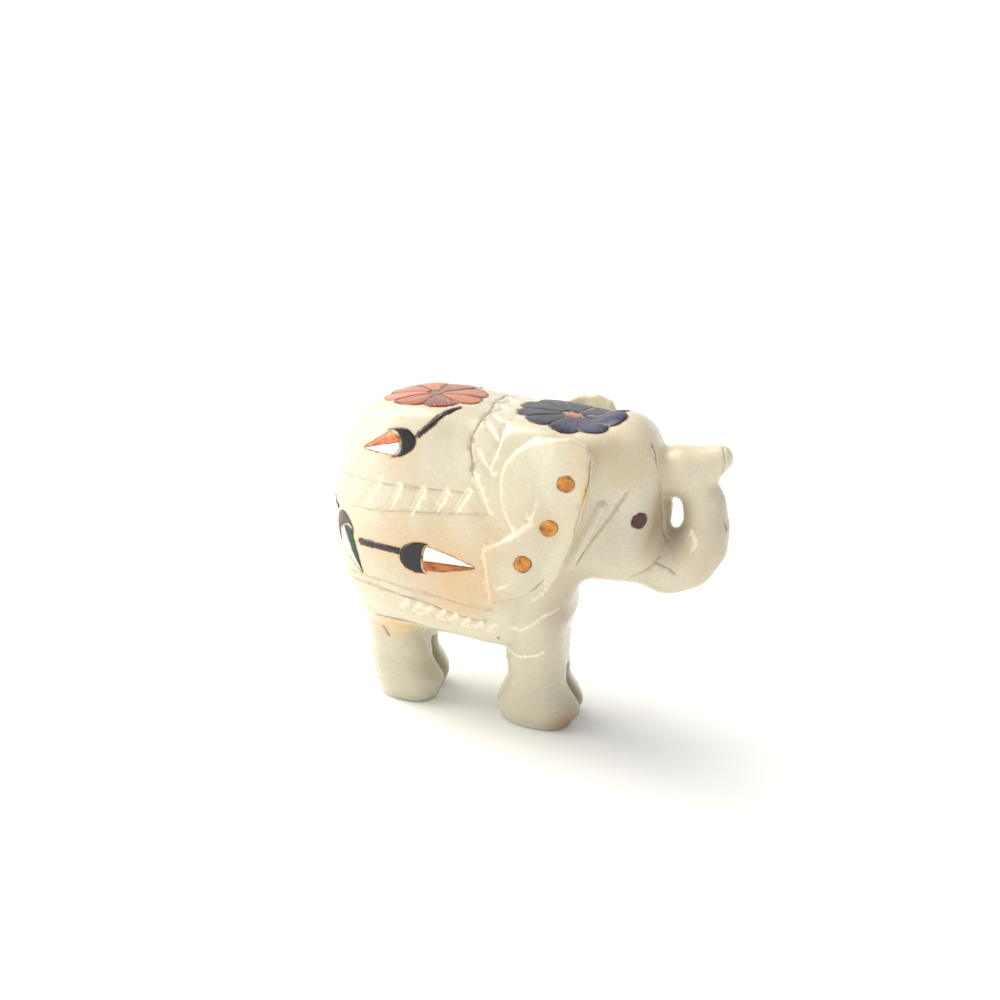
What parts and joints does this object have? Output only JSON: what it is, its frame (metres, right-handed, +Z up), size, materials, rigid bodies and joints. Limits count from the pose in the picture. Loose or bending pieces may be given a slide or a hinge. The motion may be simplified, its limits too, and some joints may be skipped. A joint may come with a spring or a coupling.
{
  "type": "marble inlay elephant figurine",
  "caption": "Small carved marble elephant with raised trunk, saddle cloth in shallow relief and flush coloured stone flowers, buds, ear dots and eyes.",
  "frame": {"origin": "on the surface it stands on, under the middle of its bounding box", "axes": "+X from the tail towards the trunk, +Y towards the animal's left side, +Z up"},
  "size_m": [0.0754, 0.033, 0.0639],
  "materials": {
    "marble": "honed white marble, slightly translucent",
    "carnelian": "ground flush, semi-polished",
    "lapis": "ground flush, semi-polished",
    "jasper": "ground flush, semi-polished",
    "serpentine": "ground flush, semi-polished",
    "onyx": "ground flush, semi-polished",
    "shell": "pearly, ground flush",
    "malachite": "ground flush, semi-polished",
    "amber": "clear amber, polished",
    "garnet": "clear dark red, polished"
  },
  "bodies": {
    "root": {"marble_body": "marble", "head_flower_centre": "jasper", "head_flower_petal_1": "lapis", "head_flower_petal_10": "lapis", "head_flower_petal_2": "lapis", "head_flower_petal_3": "lapis", "head_flower_petal_4": "lapis", "head_flower_petal_5": "lapis", "head_flower_petal_6": "lapis", "head_flower_petal_7": "lapis", "head_flower_petal_8": "lapis", "head_flower_petal_9": "lapis", "left_corner_bud_calyx": "onyx", "left_corner_bud_front_petal": "malachite", "left_corner_bud_rear_petal": "shell", "left_corner_stem": "onyx", "left_ear_dot_1": "amber", "left_ear_dot_2": "amber", "left_ear_dot_3": "amber", "left_eye": "garnet", "left_garland_bud_calyx": "onyx", "left_garland_bud_lower_petal": "carnelian", "left_garland_bud_upper_petal": "shell", "left_garland_stem": "onyx", "left_rump_bud_calyx": "onyx", "left_rump_bud_lower_petal": "shell", "left_rump_bud_upper_petal": "carnelian", "left_rump_stem": "onyx", "right_corner_bud_calyx": "onyx", "right_corner_bud_front_petal": "malachite", "right_corner_bud_rear_petal": "shell", "right_corner_stem": "onyx", "right_ear_dot_1": "amber", "right_ear_dot_2": "amber", "right_ear_dot_3": "amber", "right_eye": "garnet", "right_garland_bud_calyx": "onyx", "right_garland_bud_lower_petal": "carnelian", "right_garland_bud_upper_petal": "shell", "right_garland_stem": "onyx", "right_rump_bud_calyx": "onyx", "right_rump_bud_lower_petal": "shell", "right_rump_bud_upper_petal": "carnelian", "right_rump_stem": "onyx", "rump_flower_centre": "serpentine", "rump_flower_petal_1": "carnelian", "rump_flower_petal_2": "carnelian", "rump_flower_petal_3": "carnelian", "rump_flower_petal_4": "carnelian", "rump_flower_petal_5": "carnelian", "rump_flower_petal_6": "carnelian", "rump_flower_petal_7": "carnelian", "rump_flower_petal_8": "carnelian"}
  },
  "joints": []
}
